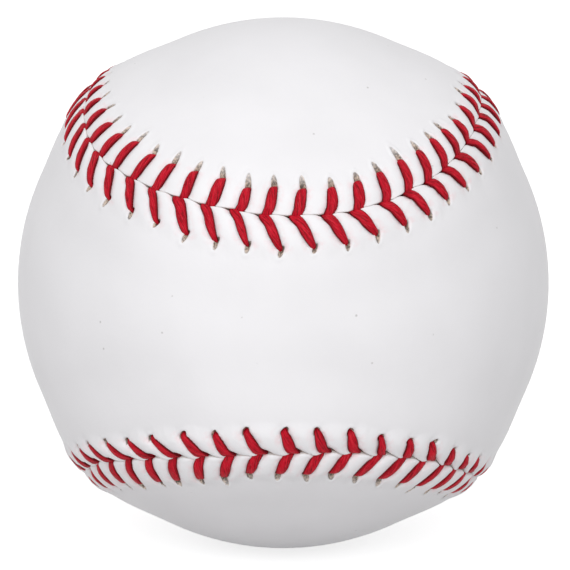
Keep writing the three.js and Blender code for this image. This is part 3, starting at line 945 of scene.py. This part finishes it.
class Nodes:
    """Builds a node tree. A value may be a number, a colour or another node's output."""

    def __init__(self, tree):
        self.tree = tree

    def fill(self, node, values):
        """Sets or links a node's inputs, by their names or numbers."""
        for name, value in values.items():
            socket = node.inputs[name]
            if isinstance(value, bpy.types.NodeSocket):
                self.tree.links.new(value, socket)
            elif socket.type == "RGBA":
                socket.default_value = (*value, 1)
            else:
                socket.default_value = value

    def add(self, kind, values=None, **properties):
        """A node with its inputs and properties set."""
        node = self.tree.nodes.new(kind)
        for name, value in properties.items():
            setattr(node, name, value)
        self.fill(node, values or {})
        return node

    def place(self):
        """Object coordinates."""
        return self.add("ShaderNodeTexCoord").outputs["Object"]

    def attribute(self, name):
        """A value that the mesh holds at its corners."""
        return self.add("ShaderNodeAttribute", attribute_name=name).outputs["Fac"]

    def fade(self, source, low, high, to_low=0.0, to_high=1.0):
        """A value carried from one range to another, held at its ends."""
        values = {
            "Value": source,
            "From Min": low,
            "From Max": high,
            "To Min": to_low,
            "To Max": to_high,
        }
        return self.add("ShaderNodeMapRange", values).outputs["Result"]

    def mix(self, factor, first, second):
        """Two colours mixed by a factor."""
        colours = {"Factor": factor, 6: first, 7: second}
        return self.add("ShaderNodeMix", colours, data_type="RGBA").outputs[2]

    def math(self, operation, first, second=0.0):
        """One step of arithmetic."""
        values = {0: first, 1: second}
        return self.add("ShaderNodeMath", values, operation=operation).outputs[0]

    def noise(self, place, scale, detail=2.0, roughness=0.5):
        """Cloudy noise from 0 to 1."""
        values = {"Vector": place, "Scale": scale, "Detail": detail, "Roughness": roughness}
        return self.add("ShaderNodeTexNoise", values).outputs["Fac"]

    def cells(self, place, scale, feature="F1"):
        """Rounded cells."""
        values = {"Vector": place, "Scale": scale}
        return self.add("ShaderNodeTexVoronoi", values, feature=feature)

    def bump(self, shader, heights):
        """Bumps one over another on a shader. Each is a socket and its height in metres."""
        below = {}
        for source, height in heights:
            values = {"Strength": 1, "Distance": height, "Height": source, **below}
            below = {"Normal": self.add("ShaderNodeBump", values).outputs["Normal"]}
        self.fill(shader, below)

    def seen(self):
        """1 where the camera sees a thing straight, in a mirror or through glass, else 0."""
        rays = self.add("ShaderNodeLightPath").outputs
        mirrored = self.math("MAXIMUM", rays["Is Camera Ray"], rays["Is Glossy Ray"])
        return self.math("MAXIMUM", mirrored, rays["Is Transmission Ray"])


def new_material(name):
    """A material, its nodes and its shader."""
    material = bpy.data.materials.new(name)
    material.use_nodes = True
    tree = material.node_tree
    return material, Nodes(tree), tree.nodes["Principled BSDF"]


def toned(shade, share, more=0.0):
    """A colour made darker or lighter, and no brighter than 1."""
    return tuple(min(1, share * value + more) for value in shade)


# Materials


def leather_material(cover):
    """Smooth white leather with a fine grain, and raw leather in its holes."""
    speck_grey = (0.3, 0.28, 0.27)
    cut_edge = (0.8, 0.73, 0.67)
    tint = toned(cover.leather, 0.95)
    raw_light = toned(cover.bare_leather, 2)
    raw_dark_and_shade = toned(cover.bare_leather, 0.4)
    material, nodes, shader = new_material("white_leather")
    place = nodes.place()
    hole = nodes.attribute("hole_edge")
    past = nodes.attribute("past_thread")
    slot = nodes.attribute("slot_edge")
    cloud = nodes.noise(place, scale=60, detail=3)
    face = nodes.mix(nodes.fade(cloud, 0.35, 0.7), cover.leather, tint)
    # A few tiny grey specks
    dots = nodes.cells(place, scale=330).outputs["Distance"]
    rare = nodes.fade(nodes.noise(place, scale=900, detail=0), 0.55, 0.63)
    speck = nodes.math("MULTIPLY", nodes.fade(dots, 0.07, 0.03, to_high=0.5), rare)
    face = nodes.mix(speck, face, speck_grey)
    # A trace of red dye beside the thread
    beside = nodes.fade(nodes.attribute("beside_thread"), 1.1 * MM, 0.1 * MM, to_high=0.5)
    rubbed = nodes.fade(nodes.noise(place, scale=1100, roughness=0.6), 0.4, 0.66)
    face = nodes.mix(nodes.math("MULTIPLY", rubbed, beside), face, cover.dye)
    # Raw leather in the holes, mottled, with painted shade deepest in the middle, and pale at the
    # far end
    fibre = nodes.noise(place, scale=2600, detail=3, roughness=0.65)
    raw = nodes.mix(nodes.fade(fibre, 0.41, 0.6), raw_dark_and_shade, raw_light)
    # Painted shade deep in the hole
    raw = nodes.mix(nodes.fade(hole, -0.2 * MM, -0.5 * MM, to_high=0.5), raw, raw_dark_and_shade)
    raw = nodes.mix(nodes.fade(past, 0.7 * MM, 2.3 * MM, to_high=0.6), raw, cover.leather)
    # Painted shade where the thread goes into the hole
    raw = nodes.mix(nodes.fade(past, 0.5 * MM, 0, to_high=0.55), raw, raw_dark_and_shade)
    in_hole = nodes.fade(hole, 0.03 * MM, -0.07 * MM)
    face = nodes.mix(in_hole, face, raw)
    # The cut edge in the slot is a little darker than the face
    face = nodes.mix(nodes.fade(slot, 0.03 * MM, 0), face, cut_edge)
    # The flesh side inside the ball
    flesh = nodes.mix(nodes.fade(fibre, 0.3, 0.7), cover.flesh_side, raw_light)
    face = nodes.mix(nodes.attribute("flesh_side"), face, flesh)
    rough = nodes.fade(in_hole, 0, 1, 0.46, 0.95)
    nodes.fill(shader, {"Base Color": face, "Roughness": rough, "Specular IOR Level": 0.35})
    grain = nodes.cells(place, scale=1700, feature="SMOOTH_F1").outputs["Distance"]
    swell = nodes.noise(place, scale=140)
    # Fine creases beside the slot, where the leather is drawn tight
    creased = nodes.noise(place, scale=480, detail=3, roughness=0.6)
    creases = nodes.math("MULTIPLY", creased, nodes.fade(slot, 6 * MM, 1.5 * MM))
    nodes.bump(shader, [(swell, 0.05 * MM), (creases, 0.09 * MM), (grain, 0.012 * MM)])
    return material


def thread_material(settings):
    """Waxed red thread: fibres run along it with a slight twist."""
    twist, stretch = 0.22, 0.5
    # A painted highlight colour for the lightest streaks
    light = toned(settings.thread, 1.2, 0.02)
    edge_shade = toned(settings.thread_shade, 0.45)
    material, nodes, shader = new_material("red_thread")
    chart = nodes.add("ShaderNodeUVMap", uv_map="thread_map").outputs["UV"]
    turn, along, _ = nodes.add("ShaderNodeSeparateXYZ", {0: chart}).outputs
    # The way round is a circle, so that the streaks close on themselves
    twisted = nodes.math("ADD", turn, nodes.math("MULTIPLY", along, twist))
    angle = nodes.math("MULTIPLY", twisted, FULL_TURN)
    circle = {
        0: nodes.math("COSINE", angle),
        1: nodes.math("SINE", angle),
        2: nodes.math("MULTIPLY", along, stretch),
    }
    place = nodes.add("ShaderNodeCombineXYZ", circle).outputs[0]
    streaks = nodes.noise(place, scale=4.3, detail=3, roughness=0.7)
    # Streaks along the fibres: painted shade between them, and painted highlights on the lightest
    body = nodes.mix(nodes.fade(streaks, 0.35, 0.51), settings.thread_shade, settings.thread)
    body = nodes.mix(nodes.fade(streaks, 0.54, 0.7), body, light)
    # Painted glints on loose fibres
    fibre_glints = nodes.fade(nodes.noise(place, scale=15, roughness=0.6), 0.58, 0.7, to_high=0.4)
    body = nodes.mix(fibre_glints, body, settings.thread_fibre_glint)
    # Painted shade darkens the thread's two thin edges
    edge = nodes.math("COSINE", nodes.math("MULTIPLY", turn, FULL_TURN))
    edge = nodes.fade(nodes.math("ABSOLUTE", edge), 0.68, 1, to_high=0.85)
    body = nodes.mix(edge, body, edge_shade)
    nodes.fill(shader, {"Base Color": body, "Roughness": 0.5, "Specular IOR Level": 0.1})
    nodes.bump(shader, [(streaks, 0.14 * MM)])
    return material


def yarn_material(name, shade, fibres):
    """Matte wool yarn with loose fibres."""
    material, nodes, shader = new_material(name)
    fibre = nodes.noise(nodes.place(), scale=fibres, detail=4, roughness=0.7)
    dark, light = toned(shade, 0.4), toned(shade, 1.15)
    # Each turn's own tone, and painted shade on the packed core under the turns
    body = nodes.mix(nodes.attribute("turn_tone_and_core_shade"), dark, light)
    body = nodes.mix(nodes.fade(fibre, 0.65, 0.3, to_high=0.35), body, dark)
    nodes.fill(shader, {"Base Color": body, "Roughness": 0.95})
    nodes.fill(shader, {"Sheen Weight": 0.25, "Specular IOR Level": 0.15})
    nodes.bump(shader, [(fibre, 0.08 * MM)])
    return material


def rubber_material(name, shade):
    """Moulded matte rubber with a dusting of talc."""
    material, nodes, shader = new_material(name)
    place = nodes.place()
    cloud = nodes.noise(place, scale=130, detail=4, roughness=0.6)
    fine = nodes.noise(place, scale=1900)
    dusted = toned(shade, 0.8, 0.06)
    body = nodes.mix(nodes.fade(cloud, 0.45, 0.75), shade, dusted)
    rough = nodes.fade(cloud, 0.3, 0.7, 0.6, 0.78)
    nodes.fill(shader, {"Base Color": body, "Roughness": rough, "Specular IOR Level": 0.3})
    nodes.bump(shader, [(cloud, 0.06 * MM), (fine, 0.015 * MM)])
    return material


def cork_material(shade):
    """Ground cork: light and dark grains bound with rubber."""
    material, nodes, shader = new_material("ground_cork")
    place = nodes.place()
    grains = nodes.cells(place, scale=520).outputs
    tone = nodes.add("ShaderNodeSeparateColor", {0: grains["Color"]}).outputs[0]
    fine = nodes.noise(place, scale=1500, detail=3)
    dark, light, binder = toned(shade, 0.45), toned(shade, 1.35), (0.03, 0.02, 0.017)
    body = nodes.mix(tone, dark, light)
    body = nodes.mix(nodes.fade(fine, 0.55, 0.7), body, dark)
    body = nodes.mix(nodes.fade(grains["Distance"], 0.5, 0.75), body, binder)
    nodes.fill(shader, {"Base Color": body, "Roughness": 0.9})
    nodes.bump(shader, [(tone, 0.12 * MM), (fine, 0.05 * MM)])
    return material


# Round pieces, modelled with Blender's own tools


def pick_faces(piece, test):
    """Picks the faces whose middle passes a test, in edit mode."""
    mesh = bmesh.from_edit_mesh(piece.data)
    for face in mesh.faces:
        face.select = test(face.calc_center_median())
    mesh.select_flush_mode()
    bmesh.update_edit_mesh(piece.data)


def add_shape(operator, name, **values):
    """The piece that one of Blender's own shape operators makes."""
    bpy.ops.object.select_all(action="DESELECT")
    operator(**values)
    piece = bpy.context.active_object
    piece.name = name
    return piece


def add_ball(name, radius, segments, rings):
    """A round ball about the origin."""
    ball = bpy.ops.mesh.primitive_uv_sphere_add
    piece = add_shape(ball, name, segments=segments, ring_count=rings, radius=radius)
    piece.data.name = name
    return piece


def apply_modifier(piece, kind, **values):
    """Adds a modifier with its values and applies it."""
    pick_only(piece)
    modifier = piece.modifiers.new(kind.lower(), kind)
    for name, value in values.items():
        setattr(modifier, name, value)
    bpy.ops.object.modifier_apply(modifier=modifier.name)


def ease_edges(piece, width, **limit):
    """Rounds a piece's sharp edges a little, and shades the rest smooth."""
    apply_modifier(piece, "BEVEL", width=width, segments=3, limit_method="ANGLE", **limit)
    shade_smooth(piece)
    bpy.ops.object.shade_smooth_by_angle(angle=35 * DEGREE)


def half_shell(name, inner_radius, outer_radius, rim_level, upper):
    """Half of a moulded shell, cut at its rim, hollowed, and its edges eased."""
    piece = add_ball(name, outer_radius, segments=64, rings=40)
    bpy.ops.object.mode_set(mode="EDIT")
    bpy.ops.mesh.select_all(action="SELECT")
    bpy.ops.mesh.bisect(
        plane_co=(0, 0, rim_level if upper else -rim_level),
        plane_no=(0, 0, 1),
        clear_inner=upper,
        clear_outer=not upper,
    )
    bpy.ops.object.mode_set(mode="OBJECT")
    apply_modifier(piece, "SOLIDIFY", thickness=outer_radius - inner_radius, offset=-1)
    ease_edges(piece, 0.25 * MM, angle_limit=50 * DEGREE)
    return piece


def washer_ring(name, inner_radius, outer_radius, thickness):
    """A flat ring with eased edges."""
    disc = bpy.ops.mesh.primitive_circle_add
    piece = add_shape(disc, name, vertices=64, radius=outer_radius, fill_type="NGON")
    bpy.ops.object.mode_set(mode="EDIT")
    bpy.ops.mesh.select_all(action="SELECT")
    bpy.ops.mesh.inset(thickness=outer_radius - inner_radius)
    bpy.ops.mesh.delete(type="FACE")
    bpy.ops.object.mode_set(mode="OBJECT")
    apply_modifier(piece, "SOLIDIFY", thickness=thickness, offset=0)
    ease_edges(piece, 0.2 * MM)
    return piece


class Layer(NamedTuple):
    """A wound layer and its yarn."""

    name: str
    thickness: float
    yarn_width: float
    turns: int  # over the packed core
    material: bpy.types.Material
    slot: str


def winding(layer, outer_radius, eye_radius, seed):
    """A wound layer: a core of packed yarn with loose turns lying over it all ways."""
    # Depths are shares of the yarn's width
    core_depth, turn_depth, deepest_more = 0.8, 0.5, 0.35
    eye_room = 1.6
    spin_spread = 0.2
    # The packed yarn below is painted darkest, as shade under the turns, and each turn over it has
    # its own tone
    core_shade_tone, darkest_turn, lightest_turn = 0.5, 0.6, 1
    no_values = np.zeros(0)
    random = np.random.default_rng(seed)
    name = f"{layer.name}_yarn_layer"
    core_radius = outer_radius - core_depth * layer.yarn_width
    core = add_ball(name, core_radius, segments=64, rings=48)
    bpy.ops.object.mode_set(mode="EDIT")
    pick_faces(core, lambda middle: middle.z > 0 and math.hypot(middle.x, middle.y) < eye_radius)
    bpy.ops.mesh.delete(type="FACE")
    bpy.ops.object.mode_set(mode="OBJECT")
    core_thickness = core_radius - outer_radius + layer.thickness
    apply_modifier(core, "SOLIDIFY", thickness=core_thickness, offset=-1)
    add_corner_values(core, "turn_tone_and_core_shade", no_values, core_shade_tone)
    # One turn of yarn, flattened where it lies on the turns below, is the model for all
    turn_radius = outer_radius - turn_depth * layer.yarn_width
    first = add_shape(
        bpy.ops.mesh.primitive_torus_add,
        f"{name}_turn",
        major_radius=turn_radius,
        minor_radius=layer.yarn_width / 2,
        major_segments=28,
        minor_segments=3,
    )
    golden = math.pi * (3 - math.sqrt(5))
    pieces = [core]
    for number in range(layer.turns):
        height = (number + 0.5) / layer.turns
        spin = number * golden + random.normal(0, spin_spread)
        if height < eye_room * eye_radius / outer_radius:
            continue
        copy = first.copy()
        copy.data = first.data.copy()
        bpy.context.scene.collection.objects.link(copy)
        size = 1 - random.uniform(0, deepest_more) * layer.yarn_width / turn_radius
        flat = math.sqrt(1 - height**2)
        axis = Vector((flat * math.cos(spin), flat * math.sin(spin), height))
        lie = axis.to_track_quat("Z", "Y").to_matrix().to_4x4()
        copy.data.transform(lie @ Matrix.Scale(size, 4))
        tone = random.uniform(darkest_turn, lightest_turn)
        add_corner_values(copy, "turn_tone_and_core_shade", no_values, tone)
        pieces.append(copy)
    bpy.data.objects.remove(first)
    bpy.ops.object.select_all(action="DESELECT")
    for piece in pieces:
        piece.select_set(True)
    bpy.context.view_layer.objects.active = core
    bpy.ops.object.join()
    shade_smooth(core)
    return core


# Operators


def laced_leather(scene):
    """The leather beside the seam and its stitches, by the scene's settings."""
    lacing = Lacing(Seam(scene.ball_cover), scene.ball_lacing)
    return Leather(scene.ball_cover, scene.ball_lacing, lacing)


class BALL_OT_cover(bpy.types.Operator):
    """Makes the two leather panels"""

    bl_idname = "ball.cover"
    bl_label = "Leather panels"

    def execute(self, context):
        leather = laced_leather(context.scene)
        finish = leather_material(context.scene.ball_cover)
        for name, side in (("front", 1), ("back", -1)):
            piece = panel_piece(f"{name}_leather_panel", side, leather)
            finish_piece(piece, finish, f"cover_panel_{name}")
        return {"FINISHED"}


class BALL_OT_lacing(bpy.types.Operator):
    """Laces the panels with two runs of thread"""

    bl_idname = "ball.lacing"
    bl_label = "Lacing"

    def execute(self, context):
        thread = Thread(laced_leather(context.scene))
        finish = thread_material(context.scene.ball_lacing)
        for strand, name in enumerate(("first", "second")):
            piece = thread.piece(f"{name}_red_thread", strand)
            finish_piece(piece, finish, f"stitch_thread_{name}")
        return {"FINISHED"}


class BALL_OT_windings(bpy.types.Operator):
    """Winds the four layers of yarn"""

    bl_idname = "ball.windings"
    bl_label = "Windings"

    def execute(self, context):
        cover = context.scene.ball_cover
        centre = context.scene.ball_centre
        gap = centre.clearance
        grey = yarn_material("grey_wool", centre.grey_yarn, fibres=900)
        white = yarn_material("white_wool", centre.white_yarn, fibres=900)
        fine = yarn_material("fine_cotton", centre.finishing_yarn, fibres=1500)
        finishing, third, second = (
            centre.finishing_thickness,
            centre.third_thickness,
            centre.second_thickness,
        )
        # The first winding fills the room that the other layers and the centre leave
        outer = cover.ball_diameter / 2 - cover.thickness - gap
        inner = centre.cork_diameter / 2 + centre.black_thickness + centre.red_thickness + 3 * gap
        first = outer - inner - sum(thickness + gap for thickness in (finishing, third, second))
        layers = (
            Layer("finishing", finishing, 0.48 * MM, 170, fine, "finishing_yarn"),
            Layer("third", third, 0.95 * MM, 120, grey, "grey_yarn"),
            Layer("second", second, 0.95 * MM, 110, white, "white_yarn"),
            Layer("first", first, 1.4 * MM, 84, grey, "grey_yarn"),
        )
        for seed, layer in enumerate(layers):
            piece = winding(layer, outer, centre.eye_radius, seed)
            finish_piece(piece, layer.material, f"{layer.name}_winding")
            outer -= layer.thickness + gap
        return {"FINISHED"}


class BALL_OT_rubber(bpy.types.Operator):
    """Moulds the rubber shells and the washer"""

    bl_idname = "ball.rubber"
    bl_label = "Rubber shells"

    def execute(self, context):
        centre = context.scene.ball_centre
        gap = centre.clearance
        black = rubber_material("black_rubber_mould", centre.black_rubber)
        red = rubber_material("red_rubber_mould", centre.red_rubber)
        black_inner = centre.cork_diameter / 2 + gap
        black_outer = black_inner + centre.black_thickness
        red_inner = black_outer + gap
        red_outer = red_inner + centre.red_thickness
        black_rim = centre.washer_thickness / 2 + gap
        for half, upper in (("upper", True), ("lower", False)):
            piece = half_shell(f"black_shell_{half}", black_inner, black_outer, black_rim, upper)
            finish_piece(piece, black, f"black_rubber_half_{half}")
            piece = half_shell(f"red_shell_{half}", red_inner, red_outer, gap / 2, upper)
            finish_piece(piece, red, f"red_rubber_half_{half}")
        piece = washer_ring("red_washer", black_inner, black_outer, centre.washer_thickness)
        finish_piece(piece, red, "red_rubber_washer")
        return {"FINISHED"}


class BALL_OT_cork(bpy.types.Operator):
    """Makes the ground cork ball"""

    bl_idname = "ball.cork"
    bl_label = "Cork ball"

    def execute(self, context):
        centre = context.scene.ball_centre
        piece = add_ball("cork_ball", centre.cork_diameter / 2, segments=72, rings=48)
        grains = bpy.data.textures.new("cork_grains", "VORONOI")
        grains.noise_scale = 2.2 * MM
        apply_modifier(
            piece,
            "DISPLACE",
            texture=grains,
            texture_coords="LOCAL",
            strength=0.25 * MM,
            mid_level=1,
        )
        shade_smooth(piece)
        finish_piece(piece, cork_material(centre.cork), "cork_core")
        return {"FINISHED"}


class BALL_OT_stage(bpy.types.Operator):
    """Sets the floor, the light and the camera"""

    bl_idname = "ball.stage"
    bl_label = "Stage"

    def execute(self, context):
        scene = context.scene
        stage = scene.ball_stage
        add_camera(scene, stage)
        add_floor(stage, scene.ball_cover.ball_diameter / 2)
        add_sky(scene, stage)
        toward_front = direction_from(stage.front_azimuth, stage.front_elevation)
        toward_top = direction_from(stage.top_azimuth, stage.top_elevation)
        distance = stage.lamp_distance
        add_lamp("front_lamp", toward_front * distance, stage.front_size, stage.front_power)
        add_lamp("top_lamp", toward_top * distance, stage.top_size, stage.top_power)
        scene.view_settings.view_transform = "Standard"
        return {"FINISHED"}


def direction_from(azimuth, elevation):
    """From the ball's centre, round it from its front and above the horizon."""
    return Vector(
        (
            math.sin(azimuth) * math.cos(elevation),
            -math.cos(azimuth) * math.cos(elevation),
            math.sin(elevation),
        )
    )


def add_camera(scene, stage):
    """The camera at the photograph's viewing angle."""
    camera = bpy.data.cameras.new("camera")
    camera.sensor_width = 36
    camera.lens = stage.camera_lens
    camera.shift_x, camera.shift_y = stage.camera_shift
    camera.clip_start = 50 * MM
    camera.clip_end = 20
    holder = bpy.data.objects.new("camera", camera)
    scene.collection.objects.link(holder)
    back = direction_from(stage.camera_azimuth, stage.camera_elevation)
    turn = (-back).to_track_quat("-Z", "Y").to_matrix().to_4x4()
    roll = Matrix.Rotation(stage.camera_roll, 4, "Z")
    holder.matrix_world = Matrix.Translation(back * stage.camera_distance) @ turn @ roll
    scene.camera = holder


def add_floor(stage, ball_radius):
    """A plain pale floor that the ball rests on. It shows white and keeps the shadow."""
    plane = bpy.ops.mesh.primitive_plane_add
    floor = add_shape(plane, "floor", size=8, location=(0, 0, -ball_radius))
    bpy.ops.object.transform_apply(location=True, rotation=False, scale=False)
    material, nodes, shader = new_material("pale_floor")
    glow = nodes.math("MULTIPLY", nodes.seen(), stage.floor_glow)
    nodes.fill(shader, {"Base Color": stage.floor, "Roughness": 0.9, "Specular IOR Level": 0})
    nodes.fill(shader, {"Emission Color": (1, 1, 1), "Emission Strength": glow})
    floor.data.materials.append(material)


def add_sky(scene, stage):
    """Even white light all round, and a white backdrop."""
    world = bpy.data.worlds.new("studio")
    scene.world = world
    world.use_nodes = True
    nodes = Nodes(world.node_tree)
    strength = nodes.fade(nodes.seen(), 0, 1, stage.sky_strength, 1)
    nodes.fill(world.node_tree.nodes["Background"], {"Color": (1, 1, 1), "Strength": strength})


def add_lamp(name, place, size, power):
    """A wide soft lamp that faces the ball."""
    lamp = bpy.data.lights.new(name, "AREA")
    lamp.shape = "DISK"
    lamp.size = size
    lamp.energy = power
    holder = bpy.data.objects.new(name, lamp)
    bpy.context.scene.collection.objects.link(holder)
    holder.location = place
    holder.rotation_mode = "QUATERNION"
    holder.rotation_quaternion = (-place).to_track_quat("-Z", "Y")


class BALL_PT_panel(bpy.types.Panel):
    """Lists the steps that make the ball"""

    bl_idname = "BALL_PT_panel"
    bl_label = "Hand-sewn ball"
    bl_space_type = "VIEW_3D"
    bl_region_type = "UI"
    bl_category = "Ball"

    def draw(self, context):
        column = self.layout.column()
        for step in steps:
            column.operator(step.bl_idname)
        for group in settings:
            values = getattr(context.scene, group)
            for name in values.bl_rna.properties.keys():
                if name not in ("rna_type", "name"):
                    column.prop(values, name)


settings = {
    "ball_cover": CoverSettings,
    "ball_lacing": LacingSettings,
    "ball_centre": CentreSettings,
    "ball_stage": StageSettings,
}
steps = (
    BALL_OT_stage,
    BALL_OT_cover,
    BALL_OT_lacing,
    BALL_OT_windings,
    BALL_OT_rubber,
    BALL_OT_cork,
)


def register():
    for entry in (*settings.values(), *steps, BALL_PT_panel):
        bpy.utils.register_class(entry)
    for name, group in settings.items():
        setattr(bpy.types.Scene, name, PointerProperty(type=group))


def unregister():
    for name in settings:
        delattr(bpy.types.Scene, name)
    for entry in (BALL_PT_panel, *steps, *settings.values()):
        bpy.utils.unregister_class(entry)


def main():
    register()
    for step in steps:
        group, name = step.bl_idname.split(".")
        getattr(getattr(bpy.ops, group), name)()


if __name__ == "__main__":
    main()
